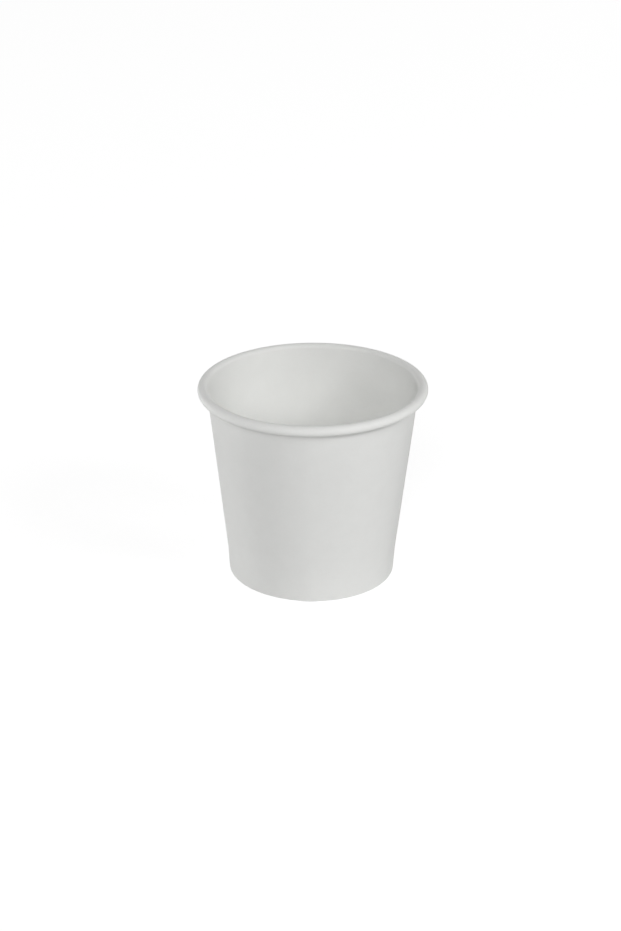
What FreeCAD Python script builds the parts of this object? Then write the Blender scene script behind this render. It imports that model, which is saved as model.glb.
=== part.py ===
import FreeCAD, Part
import math
import os
from FreeCAD import Vector

# A small paper cup in two pieces: a sidewall, wrapped and glued from one blank of board, with its top
# edge rolled outward and its foot folded in, and a bottom disc whose turned-down skirt the fold holds.
# Millimetres, +Z up. The origin is the centre of the foot, on the table.

# Overall sizes
rim_diameter = 62.0
foot_diameter = 45.3
height = 54.3
floor_height = 6.6
wall_diameter_at_floor = 46.2

# Board and glue
wall_board = 0.28
disc_board = 0.28
seal_film = 0.02

# Rolled rim: the wall's top turned over and under, then tucked up inside, clear of the wall at the seam
roll_diameter = 2.75
tuck_clearance = 0.1

# Foot: the fold round the skirt, its room below the skirt's bend, and that bend
fold_radius = 0.05
fold_clearance = 0.5
skirt_bend_radius = 0.7

# Every bend is pressed as short flats, whose middles lie at most this far inside the true arc
flat_error = 0.09

# Side seam, in degrees about the axis: the outer layer ends at seam_angle
seam_angle = -86.0
lap_angle = 15.0
ramp_angle = 5.0
seam_step = 0.1

ORIGIN = Vector(0, 0, 0)
UP = Vector(0, 0, 1)


# Lines and directions in the half plane that holds the axis: x is the radius, z the height
def ahead(angle):
    return Vector(math.cos(angle), 0, math.sin(angle))


def left(angle):
    return ahead(angle + math.pi / 2)


def heading(step):
    return math.atan2(step.z, step.x)


def at_height(point, angle, z):
    """The point at height z on the line through a point."""
    return point + ahead(angle) * ((z - point.z) / math.sin(angle))


def bent_path(corners, radii):
    """Runs and bends along a line of corners. A corner of radius 0 stays sharp.

    A run holds its length, and how much longer it is beside the path, for each millimetre of offset.
    """
    steps = [b - a for a, b in zip(corners, corners[1:])]
    angles = [heading(step) for step in steps]
    turns = [math.remainder(b - a, 2 * math.pi) for a, b in zip(angles, angles[1:])]
    slopes = [math.tan(turn / 2) for turn in turns]
    cuts = [0] + [radius * abs(slope) for radius, slope in zip(radii, slopes)] + [0]
    gains = [0] + [slope if radius == 0 else 0 for radius, slope in zip(radii, slopes)] + [0]
    path = []
    for i, step in enumerate(steps):
        path.append(("run", step.Length - cuts[i] - cuts[i + 1], gains[i] + gains[i + 1]))
        if i < len(turns):
            path.append(("bend", radii[i], turns[i]))
    return path


def flats(radius, turn):
    """How many flats make a bend."""
    if radius == 0:
        return 0
    widest = 2 * math.acos(max(1 - flat_error / radius, 0))
    return math.ceil(abs(turn) / widest)


def walk(start, angle, path, offset):
    """Edges of the line that lies to the right of a path by an offset."""
    points = [start - left(angle) * offset]
    for kind, size, change in path:
        if kind == "run":
            points.append(points[-1] + ahead(angle) * (size + change * offset))
            continue
        radius = math.copysign(size, change) + offset
        centre = points[-1] + left(angle) * radius
        count = flats(size, change)
        points += [centre - left(angle + change * (i + 1) / count) * radius for i in range(count)]
        angle += change
    return [Part.LineSegment(a, b).toShape() for a, b in zip(points, points[1:])]


def board_section(start, angle, path, near, far):
    """Closed outline of board that follows a path, from one offset of it to another."""
    inner = walk(start, angle, path, near)
    outer = walk(start, angle, path, far)
    tip = Part.LineSegment(inner[-1].lastVertex().Point, outer[-1].lastVertex().Point).toShape()
    tail = Part.LineSegment(outer[0].firstVertex().Point, inner[0].firstVertex().Point).toShape()
    return Part.Wire(inner + [tip] + outer[::-1] + [tail])


# The wall at the foot. Its coated face, the one towards the drink, is the face that paths follow.
foot_outside = Vector(foot_diameter / 2, 0, 0)
foot_angle = heading(Vector(wall_diameter_at_floor / 2, 0, floor_height) - foot_outside)
foot_coated = foot_outside + left(foot_angle) * wall_board
skirt_coated = foot_coated + left(foot_angle) * seal_film
fold_coated = skirt_coated + left(foot_angle) * (disc_board + seal_film)
fold_height = floor_height - skirt_bend_radius - fold_clearance


def wall_top(foot):
    """Where the straight wall, rising from a point, meets the roll, which it touches as a tangent."""
    radius = roll_diameter / 2
    centre = Vector(rim_diameter / 2 - radius, 0, height - radius)
    reach = centre - foot
    angle = heading(reach) + math.asin(radius / reach.Length)
    return foot + ahead(angle) * math.sqrt(reach.Length ** 2 - radius ** 2)


def rim_path(wall_angle):
    """The roll in three bends, to its top, its outermost line and its underside, and then the tuck."""
    quarter = math.pi / 2
    tuck_radius = roll_diameter / 2 - wall_board - seam_step - tuck_clearance
    bends = [("bend", roll_diameter / 2, turn) for turn in (-wall_angle, -quarter, -quarter)]
    return bends + [("bend", tuck_radius, -quarter)]


def sidewall_path():
    """The coated face from the fold's cut edge, round the foot, up the wall and round the rim."""
    knee = at_height(foot_coated, foot_angle, floor_height)
    top = wall_top(knee)
    corners = [
        at_height(fold_coated, foot_angle, fold_height),
        at_height(fold_coated, foot_angle, wall_board),
        at_height(foot_coated, foot_angle, wall_board),
        knee,
        top,
    ]
    path = bent_path(corners, [fold_radius, fold_radius, 0])
    return corners[0], path + rim_path(heading(top - knee))


def sidewall_section(near, far):
    start, path = sidewall_path()
    return board_section(start, foot_angle + math.pi, path, near, far)


def turned(section, from_angle, to_angle):
    """A sector of the cup: a section swept about the axis between two angles."""
    face = Part.Face(section).rotated(ORIGIN, UP, from_angle)
    return face.revolve(ORIGIN, UP, to_angle - from_angle)


def make_sidewall():
    """One layer all round, lifted over the blank's inner edge and doubled as far as its outer edge."""
    inner_edge = seam_angle - lap_angle
    ramp_start = inner_edge - ramp_angle
    single = sidewall_section(0, wall_board)
    lifted = sidewall_section(seam_step, wall_board + seam_step)
    doubled = sidewall_section(0, wall_board + seam_step)
    around = turned(single, seam_angle, ramp_start + 360)
    ramp = Part.makeLoft(
        [single.rotated(ORIGIN, UP, ramp_start), lifted.rotated(ORIGIN, UP, inner_edge)], True, True)
    lap = turned(doubled, inner_edge, seam_angle)
    table = Part.makeCylinder(rim_diameter, height, ORIGIN, -UP)
    return around.fuse([ramp, lap]).cut(table).removeSplitter()


def make_bottom_disc():
    """A flat floor with its margin turned down into a skirt, which stands in the fold of the foot."""
    corners = [
        Vector(0, 0, floor_height),
        at_height(skirt_coated, foot_angle, floor_height),
        at_height(skirt_coated, foot_angle, wall_board + fold_radius),
    ]
    path = bent_path(corners, [skirt_bend_radius])
    section = board_section(corners[0], 0, path, 0, disc_board)
    return Part.Face(section).revolve(ORIGIN, UP, 360)


os.makedirs("parts", exist_ok=True)
make_sidewall().exportStep("parts/sidewall.step")
make_bottom_disc().exportStep("parts/bottom_disc.step")
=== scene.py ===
import math

import bpy
import numpy as np
from mathutils import Matrix, Vector


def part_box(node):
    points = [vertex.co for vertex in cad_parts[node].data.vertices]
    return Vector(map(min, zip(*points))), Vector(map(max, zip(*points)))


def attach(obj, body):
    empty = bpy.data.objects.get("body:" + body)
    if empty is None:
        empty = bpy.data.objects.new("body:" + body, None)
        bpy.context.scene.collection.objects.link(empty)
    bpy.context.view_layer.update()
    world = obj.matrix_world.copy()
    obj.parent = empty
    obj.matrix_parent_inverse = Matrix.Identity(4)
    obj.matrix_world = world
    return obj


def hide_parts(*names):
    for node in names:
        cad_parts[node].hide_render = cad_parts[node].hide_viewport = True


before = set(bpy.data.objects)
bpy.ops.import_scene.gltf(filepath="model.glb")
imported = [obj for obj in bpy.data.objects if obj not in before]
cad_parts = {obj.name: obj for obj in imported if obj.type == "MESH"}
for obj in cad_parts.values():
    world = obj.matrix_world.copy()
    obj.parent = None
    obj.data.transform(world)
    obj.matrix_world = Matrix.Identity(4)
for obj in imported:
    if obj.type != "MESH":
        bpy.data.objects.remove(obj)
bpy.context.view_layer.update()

# The looks of a small white paper cup: the wrapped and rolled sidewall, the bottom disc, a pale floor
# and soft studio light. Metres, +Z up, the origin at the centre of the foot.

MM = 0.001

# Sizes of the two pieces of board, the same as in the solids
low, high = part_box("sidewall")
HEIGHT = high.z
# Kept free inside the solids' box, since an askew oval reaches a little past its radius along x and y
EDGE_ROOM = 0.015 * MM
RIM_RADIUS = (high.x - low.x) / 2 - EDGE_ROOM
FOOT_RADIUS = 22.65 * MM
FLOOR_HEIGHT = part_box("bottom_disc")[1].z
RADIUS_AT_FLOOR = 23.1 * MM
BOARD = 0.28 * MM
DISC_BOARD = 0.28 * MM
FILM = 0.02 * MM
ROLL_RADIUS = 1.375 * MM
TUCK_CLEARANCE = 0.1 * MM
FOLD_RADIUS = 0.05 * MM
FOLD_CLEARANCE = 0.5 * MM
SKIRT_BEND = 0.7 * MM
KNEE_RADIUS = 4 * MM

# The side seam, in degrees about the axis: the outer layer's cut edge and the lap's width. Pressing has
# thinned both layers towards their cut edges, so that they leave only small steps.
SEAM_ANGLE = -86.0
LAP_ANGLE = 15.0
SEAM_STEP = 0.1 * MM
INNER_STEP = 0.05 * MM
INNER_RISE = 1.5
OUTER_RISE = 10.0
LAYER_GAP = 0.004 * MM

# The mouth is slightly oval, most at the rim and not at the foot: how far its long way stands out, and which
# way that is, in degrees about the axis
OVAL_DEPTH = 0.38 * MM
OVAL_ANGLE = 45.0

# Ridges pressed into the fold's inner side, which grips the disc's skirt
RIDGES = 90
RIDGE_DEPTH = 0.07 * MM
FOLD_SHARES = [0.1, 0.08, 0.64, 0.08, 0.1]
RIDGED = [0, 0, 1, 1, 0, 0]

# How finely the meshes follow the shape
COLUMNS = 750
BEND_STEP = math.radians(10)
SMALL_BEND = 1 * MM
SMALL_BEND_STEP = math.radians(16)
RUN_STEP = 7 * MM
DISC_MIDDLE = 0.6 * MM
DISC_COLUMNS = 360
SHARP = math.radians(40)

# Material numbers on both pieces
COATED = 0
PLAIN = 1
CUT = 2


# Paths in the half plane that holds the axis: x is the radius, z the height
def ahead(angle):
    return Vector((math.cos(angle), 0, math.sin(angle)))


def left(angle):
    return ahead(angle + math.pi / 2)


def heading(step):
    return math.atan2(step.z, step.x)


def at_height(point, angle, z):
    """The point at height z on the line through a point."""
    return point + ahead(angle) * ((z - point.z) / math.sin(angle))


def bent_path(corners, radii):
    """Runs and bends along a line of corners, each corner between the ends rounded."""
    steps = [b - a for a, b in zip(corners, corners[1:])]
    angles = [heading(step) for step in steps]
    turns = [math.remainder(b - a, 2 * math.pi) for a, b in zip(angles, angles[1:])]
    cuts = [0] + [radius * math.tan(abs(turn) / 2) for radius, turn in zip(radii, turns)] + [0]
    path = []
    for i, step in enumerate(steps):
        path.append(("run", step.length - cuts[i] - cuts[i + 1], 0))
        if i < len(turns):
            path.append(("bend", radii[i], turns[i]))
    return path


def sampled(start, angle, path):
    """Points along a path and the directions to its right, as rows of x, z and of x, z."""
    points, rights = [start.copy()], [-left(angle)]
    for kind, size, turn in path:
        if kind == "run":
            count = max(1, round(size / RUN_STEP))
            origin = points[-1]
            for i in range(count):
                points.append(origin + ahead(angle) * (size * (i + 1) / count))
                rights.append(-left(angle))
        else:
            radius = math.copysign(size, turn)
            centre = points[-1] + left(angle) * radius
            count = max(2, math.ceil(abs(turn) / (SMALL_BEND_STEP if size < SMALL_BEND else BEND_STEP)))
            for i in range(count):
                at = angle + turn * (i + 1) / count
                points.append(centre - left(at) * radius)
                rights.append(-left(at))
            angle += turn
    return np.array([(p.x, p.z) for p in points]), np.array([(n.x, n.z) for n in rights])


# The wall at the foot; the coated face is the one towards the drink
foot_outside = Vector((FOOT_RADIUS, 0, 0))
foot_angle = heading(Vector((RADIUS_AT_FLOOR, 0, FLOOR_HEIGHT)) - foot_outside)
foot_coated = foot_outside + left(foot_angle) * BOARD
skirt_coated = foot_coated + left(foot_angle) * FILM
fold_coated = skirt_coated + left(foot_angle) * (DISC_BOARD + FILM)
fold_height = FLOOR_HEIGHT - SKIRT_BEND - FOLD_CLEARANCE


def sidewall_path():
    """The coated face from the fold's cut edge, round the foot, up the wall and round the rim."""
    knee = at_height(foot_coated, foot_angle, FLOOR_HEIGHT)
    centre = Vector((RIM_RADIUS - ROLL_RADIUS, 0, HEIGHT - ROLL_RADIUS))
    reach = centre - knee
    wall_angle = heading(reach) + math.asin(ROLL_RADIUS / reach.length)
    top = knee + ahead(wall_angle) * math.sqrt(reach.length ** 2 - ROLL_RADIUS ** 2)
    corners = [
        at_height(fold_coated, foot_angle, fold_height),
        at_height(fold_coated, foot_angle, BOARD),
        at_height(foot_coated, foot_angle, BOARD),
        knee,
        top,
    ]
    path = bent_path(corners, [FOLD_RADIUS, FOLD_RADIUS, KNEE_RADIUS])
    path[:1] = [("run", path[0][1] * share, 0) for share in FOLD_SHARES]
    tuck_radius = ROLL_RADIUS - BOARD - SEAM_STEP - TUCK_CLEARANCE
    path.append(("bend", ROLL_RADIUS, -wall_angle - math.pi))
    path.append(("bend", tuck_radius, -math.pi / 2))
    return sampled(corners[0], foot_angle + math.pi, path)


def disc_path():
    """The upper face of the floor from near its centre, and down the outside of its skirt."""
    corners = [
        Vector((DISC_MIDDLE, 0, FLOOR_HEIGHT)),
        at_height(skirt_coated, foot_angle, FLOOR_HEIGHT),
        at_height(skirt_coated, foot_angle, BOARD + FOLD_RADIUS),
    ]
    return sampled(corners[0], 0, bent_path(corners, [SKIRT_BEND]))


def placed(radius, z, theta):
    """Points about the axis, with the mouth's slight oval."""
    oval = OVAL_DEPTH * np.cos(2 * (theta - math.radians(OVAL_ANGLE)))
    rise = np.clip(z / (HEIGHT - ROLL_RADIUS), 0, 1)
    out = radius + oval * rise ** 2
    return np.stack([out * np.cos(theta), out * np.sin(theta), z], axis=-1)


def smooth(x):
    x = np.clip(x, 0, 1)
    return x * x * (3 - 2 * x)


def grid_faces(index, flip=False):
    """Quads of a grid of vertex numbers."""
    a, b, c, d = index[:-1, :-1], index[1:, :-1], index[1:, 1:], index[:-1, 1:]
    order = (a, d, c, b) if flip else (a, b, c, d)
    return np.stack([x.ravel() for x in order], axis=1)


def fan(middle, ring):
    """Triangles from one point to a ring of points."""
    return np.stack([np.full(len(ring) - 1, middle), ring[:-1], ring[1:]], axis=1)


def mesh_piece(name, points, patches, materials):
    """A mesh of patches of faces, each with its own material number."""
    mesh = bpy.data.meshes.new(name)
    faces = [face for shape, _ in patches for face in shape.tolist()]
    mesh.from_pydata(points.tolist(), [], faces)
    numbers = np.concatenate([np.full(len(shape), number, np.int32) for shape, number in patches])
    for material in materials:
        mesh.materials.append(material)
    mesh.polygons.foreach_set("material_index", numbers)
    mesh.polygons.foreach_set("use_smooth", np.ones(len(faces), bool))
    mesh.validate()
    mesh.update()
    mesh.set_sharp_from_angle(angle=SHARP)
    piece = bpy.data.objects.new(name, mesh)
    bpy.context.scene.collection.objects.link(piece)
    return piece


def make_sidewall(materials):
    """One strip of board wrapped once round and over its own first edge, as a closed mesh."""
    line, right = sidewall_path()
    turn = np.radians(np.linspace(0, 360 + LAP_ANGLE, COLUMNS + 1))
    theta = math.radians(SEAM_ANGLE - LAP_ANGLE) + turn
    past = np.degrees(turn) - 360
    wedge = INNER_STEP + (BOARD - INNER_STEP) * np.clip(past / LAP_ANGLE, 0, 1)
    dive = INNER_STEP * smooth(past / INNER_RISE + 1)
    near = np.where(past < 0, dive, wedge + LAYER_GAP)
    under = INNER_STEP + (BOARD - INNER_STEP) * np.clip(np.degrees(turn) / LAP_ANGLE, 0, 1)
    far = under + SEAM_STEP * smooth((past + INNER_RISE) / OUTER_RISE)

    def surface(offset):
        r = line[None, :, 0] + right[None, :, 0] * offset
        z = line[None, :, 1] + right[None, :, 1] * offset
        z = np.maximum(z, 0)
        return placed(r, z, np.broadcast_to(theta[:, None], r.shape))

    ridged = np.zeros(len(line))
    ridged[:len(RIDGED)] = RIDGED
    pressed = RIDGE_DEPTH * (0.5 - 0.5 * np.cos(RIDGES * theta))[:, None] * ridged
    sides = np.stack([surface(near[:, None]), surface(far[:, None] - pressed)])
    index = np.arange(sides[..., 0].size).reshape(sides.shape[:3])
    patches = [
        (grid_faces(index[0]), COATED),
        (grid_faces(index[1], flip=True), PLAIN),
        (grid_faces(index[:, :, 0].T), CUT),
        (grid_faces(index[:, :, -1].T, flip=True), CUT),
        (grid_faces(index[:, 0, :].T, flip=True), CUT),
        (grid_faces(index[:, -1, :].T), CUT),
    ]
    return mesh_piece("cup_sidewall", sides.reshape(-1, 3), patches, materials)


def make_bottom_disc(materials):
    """The floor and its skirt, as a closed mesh about the axis."""
    line, right = disc_path()
    theta = np.linspace(0, 2 * math.pi, DISC_COLUMNS, endpoint=False)
    rings = []
    for offset in (0.0, DISC_BOARD):
        r = np.broadcast_to(line[:, 0] + right[:, 0] * offset, (DISC_COLUMNS, len(line)))
        z = np.broadcast_to(line[:, 1] + right[:, 1] * offset, (DISC_COLUMNS, len(line)))
        rings.append(placed(r, z, np.broadcast_to(theta[:, None], r.shape)))
    sides = np.stack(rings)
    index = np.arange(sides[..., 0].size).reshape(sides.shape[:3])
    index = np.concatenate([index, index[:, :1]], axis=1)
    middles = np.array([(0, 0, FLOOR_HEIGHT), (0, 0, FLOOR_HEIGHT - DISC_BOARD)])
    patches = [
        (grid_faces(index[0]), COATED),
        (grid_faces(index[1], flip=True), PLAIN),
        (grid_faces(index[:, :, -1].T, flip=True), CUT),
        (fan(sides[..., 0].size, index[0, :, 0]), COATED),
        (fan(sides[..., 0].size + 1, index[1, ::-1, 0]), PLAIN),
    ]
    points = np.concatenate([sides.reshape(-1, 3), middles])
    return mesh_piece("cup_bottom_disc", points, patches, materials)


# Materials: how close the clouds and fibres of the board lie, per metre, and how far a fibre darkens it
CLOUD_SCALE = 260
FIBRE_SCALE = 1500
FIBRE_DARK = (0.985, 0.985, 0.983)
WHITE = (1, 1, 1)
ROUGH_SPREAD = 0.05


def node(tree, kind, **sockets):
    made = tree.nodes.new(kind)
    for name, value in sockets.items():
        made.inputs[name.replace("_", " ")].default_value = value
    return made


def noise(tree, vector, scale, detail=4.0, roughness=0.5):
    made = node(tree, "ShaderNodeTexNoise", Scale=scale, Detail=detail, Roughness=roughness)
    tree.links.new(vector, made.inputs["Vector"])
    return made.outputs["Fac"]


def ramp(tree, factor, dark, light, low=0.3, high=0.7):
    made = tree.nodes.new("ShaderNodeValToRGB")
    first, last = made.color_ramp.elements
    first.position, last.position = low, high
    first.color, last.color = (*dark, 1), (*light, 1)
    tree.links.new(factor, made.inputs["Fac"])
    return made.outputs["Color"]


def span(tree, factor, to_low, to_high, low=0.3, high=0.7):
    made = tree.nodes.new("ShaderNodeMapRange")
    for name, value in zip(("From Min", "From Max", "To Min", "To Max"), (low, high, to_low, to_high)):
        made.inputs[name].default_value = value
    tree.links.new(factor, made.inputs["Value"])
    return made.outputs["Result"]


def mixed(tree, blend, factor, first, second):
    made = tree.nodes.new("ShaderNodeMix")
    made.data_type = "RGBA"
    made.blend_type = blend
    made.inputs["Factor"].default_value = factor
    tree.links.new(first, made.inputs["A"])
    tree.links.new(second, made.inputs["B"])
    return made.outputs["Result"]


def board_material(name, colour, spread, rough, gloss, fibre_depth, cloud_depth):
    """White board: cloudy formation, fine fibres, and a faint relief of both."""
    material = bpy.data.materials.new(name)
    material.use_nodes = True
    tree = material.node_tree
    shader = tree.nodes["Principled BSDF"]
    where = tree.nodes.new("ShaderNodeTexCoord").outputs["Object"]
    clouds = noise(tree, where, CLOUD_SCALE, 3)
    fibres = noise(tree, where, FIBRE_SCALE, 5, 0.65)
    shade = ramp(tree, clouds, [c * (1 - spread) for c in colour], [c * (1 + spread) for c in colour])
    grain = ramp(tree, fibres, FIBRE_DARK, WHITE)
    tree.links.new(mixed(tree, "MULTIPLY", 1.0, shade, grain), shader.inputs["Base Color"])
    tree.links.new(span(tree, fibres, rough - ROUGH_SPREAD, rough + ROUGH_SPREAD), shader.inputs["Roughness"])
    shader.inputs["Specular IOR Level"].default_value = gloss
    relief = None
    for source, depth in ((clouds, cloud_depth), (fibres, fibre_depth)):
        bump = node(tree, "ShaderNodeBump", Strength=1.0, Distance=depth)
        tree.links.new(source, bump.inputs["Height"])
        if relief:
            tree.links.new(relief, bump.inputs["Normal"])
        relief = bump.outputs["Normal"]
    tree.links.new(relief, shader.inputs["Normal"])
    return material


# Stage, light and camera: the white that the camera sees on the floor, and the share of the lamps' light that
# it sees added to it, which leaves the cup's shadow
GROUND_WHITE = 0.86
SHADOW_SHARE = 0.3
FLOOR_HOLE = 22.55 * MM
FLOOR_REACH = 4.0
FLOOR_SIDES = 96
FLOOR_GREY = (0.9, 0.9, 0.9, 1)
SHADOW_GREY = (SHADOW_SHARE, SHADOW_SHARE, SHADOW_SHARE, 1)
LAMP_DISTANCE = 2.0

# The photograph's view
CAMERA_ELEVATION = 24.49
CAMERA_ROLL = 0.504
CAMERA_DISTANCE = 625.9 * MM
LENS = 88.53
SENSOR_WIDTH = 36
SHIFT_X = -0.00182
SHIFT_Y = 0.01016


def seen_directly(tree):
    """1 for what the camera sees, itself or by reflection or through something clear, else 0."""
    path = tree.nodes.new("ShaderNodeLightPath")
    total = path.outputs["Is Camera Ray"]
    for name in ("Is Glossy Ray", "Is Transmission Ray"):
        most = tree.nodes.new("ShaderNodeMath")
        most.operation = "MAXIMUM"
        tree.links.new(total, most.inputs[0])
        tree.links.new(path.outputs[name], most.inputs[1])
        total = most.outputs[0]
    return total


def make_floor():
    """A pale floor that the camera sees as the white ground, with the cup's shadow left on it.

    It hides nothing from a view from below, and its hole, inside the foot, lets light in under the cup.
    """
    mesh = bpy.data.meshes.new("floor")
    count = FLOOR_SIDES
    turns = [2 * math.pi * i / count for i in range(count)]
    points = [(r * math.cos(t), r * math.sin(t), 0) for r in (FLOOR_HOLE, FLOOR_REACH) for t in turns]
    rings = [(i, i + count, (i + 1) % count + count, (i + 1) % count) for i in range(count)]
    mesh.from_pydata(points, [], rings)
    floor = bpy.data.objects.new("floor", mesh)
    bpy.context.scene.collection.objects.link(floor)
    material = bpy.data.materials.new("floor")
    material.use_nodes = True
    tree = material.node_tree
    tree.nodes.clear()
    output = tree.nodes.new("ShaderNodeOutputMaterial")
    matte = node(tree, "ShaderNodeBsdfDiffuse", Color=FLOOR_GREY)
    shadow = node(tree, "ShaderNodeBsdfDiffuse", Color=SHADOW_GREY)
    white = node(tree, "ShaderNodeEmission", Strength=GROUND_WHITE)
    ground = tree.nodes.new("ShaderNodeAddShader")
    tree.links.new(white.outputs[0], ground.inputs[0])
    tree.links.new(shadow.outputs[0], ground.inputs[1])
    seen = tree.nodes.new("ShaderNodeMixShader")
    tree.links.new(seen_directly(tree), seen.inputs["Fac"])
    tree.links.new(matte.outputs[0], seen.inputs[1])
    tree.links.new(ground.outputs[0], seen.inputs[2])
    clear = tree.nodes.new("ShaderNodeBsdfTransparent")
    side = tree.nodes.new("ShaderNodeNewGeometry").outputs["Backfacing"]
    faced = tree.nodes.new("ShaderNodeMixShader")
    tree.links.new(side, faced.inputs["Fac"])
    tree.links.new(seen.outputs[0], faced.inputs[1])
    tree.links.new(clear.outputs[0], faced.inputs[2])
    tree.links.new(faced.outputs[0], output.inputs["Surface"])
    mesh.materials.append(material)


def make_world(level):
    """White where it is seen, and an even, weaker light on the cup."""
    world = bpy.data.worlds.new("studio")
    bpy.context.scene.world = world
    world.use_nodes = True
    tree = world.node_tree
    tree.nodes.clear()
    output = tree.nodes.new("ShaderNodeOutputWorld")
    lit = node(tree, "ShaderNodeBackground", Color=(1, 1, 1, 1), Strength=level)
    white = node(tree, "ShaderNodeBackground", Color=(1, 1, 1, 1), Strength=1.0)
    mix = tree.nodes.new("ShaderNodeMixShader")
    tree.links.new(seen_directly(tree), mix.inputs["Fac"])
    tree.links.new(lit.outputs[0], mix.inputs[1])
    tree.links.new(white.outputs[0], mix.inputs[2])
    tree.links.new(mix.outputs[0], output.inputs["Surface"])


def direction(azimuth, elevation):
    """From the cup: azimuth 0 is towards the camera and grows to its right."""
    a, e = math.radians(azimuth), math.radians(elevation)
    return Vector((math.sin(a) * math.cos(e), -math.cos(a) * math.cos(e), math.sin(e)))


def make_light(name, azimuth, elevation, wide, tall, power):
    """A soft lamp that faces the cup from LAMP_DISTANCE away."""
    data = bpy.data.lights.new(name, "AREA")
    data.shape = "ELLIPSE"
    data.size = wide
    data.size_y = tall
    data.energy = power
    lamp = bpy.data.objects.new(name, data)
    lamp.visible_camera = False
    way = direction(azimuth, elevation)
    lamp.location = Vector((0, 0, HEIGHT / 2)) + way * LAMP_DISTANCE
    lamp.rotation_mode = "QUATERNION"
    lamp.rotation_quaternion = way.to_track_quat("Z", "Y")
    bpy.context.scene.collection.objects.link(lamp)


def make_camera():
    """The photograph's view, a long lens a little above the cup."""
    elevation = math.radians(CAMERA_ELEVATION)
    roll = math.radians(CAMERA_ROLL)
    data = bpy.data.cameras.new("camera")
    data.sensor_width = SENSOR_WIDTH
    data.lens = LENS
    data.shift_x = SHIFT_X
    data.shift_y = SHIFT_Y
    camera = bpy.data.objects.new("camera", data)
    back = direction(0, CAMERA_ELEVATION)
    tilt = math.sin(roll)
    right = Vector((math.cos(roll), math.sin(elevation) * tilt, math.cos(elevation) * tilt))
    up = back.cross(right)
    turn = Matrix((right, up, back)).transposed().to_4x4()
    camera.matrix_world = Matrix.Translation(Vector((0, 0, HEIGHT / 2)) + back * CAMERA_DISTANCE) @ turn
    bpy.context.scene.collection.objects.link(camera)
    bpy.context.scene.camera = camera


COATED_WHITE = (0.93, 0.934, 0.915)
PLAIN_WHITE = (0.88, 0.884, 0.868)
CUT_WHITE = (0.85, 0.85, 0.83)
coated = board_material("coated_board", COATED_WHITE, 0.006, 0.6, 0.2, 0.004 * MM, 0.02 * MM)
plain = board_material("plain_board", PLAIN_WHITE, 0.008, 0.85, 0.1, 0.012 * MM, 0.03 * MM)
cut = board_material("cut_board", CUT_WHITE, 0.02, 0.9, 0.1, 0.03 * MM, 0.03 * MM)
boards = [coated, plain, cut]

sidewall = make_sidewall(boards)
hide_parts("sidewall")
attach(sidewall, "root")

bottom_disc = make_bottom_disc(boards)
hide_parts("bottom_disc")
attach(bottom_disc, "root")

make_floor()
make_world(0.02)
# Strengths are in watts. They were matched to the photograph's shading and then rounded.
make_light("front", -10, 32, 0.9, 0.9, 16)
make_light("key", 57, 33, 0.7, 0.7, 12)
make_light("right", 100, 33, 0.7, 0.7, 6)
make_light("left", -100, 20, 0.7, 0.7, 5)
make_light("low_left", -120, 1.5, 1.0, 0.16, 12)
make_light("back", 165, 30, 0.7, 0.7, 3)
make_light("under", 0, -90, 1.6, 1.6, 24)
make_camera()

scene = bpy.context.scene
scene.view_settings.view_transform = "Standard"
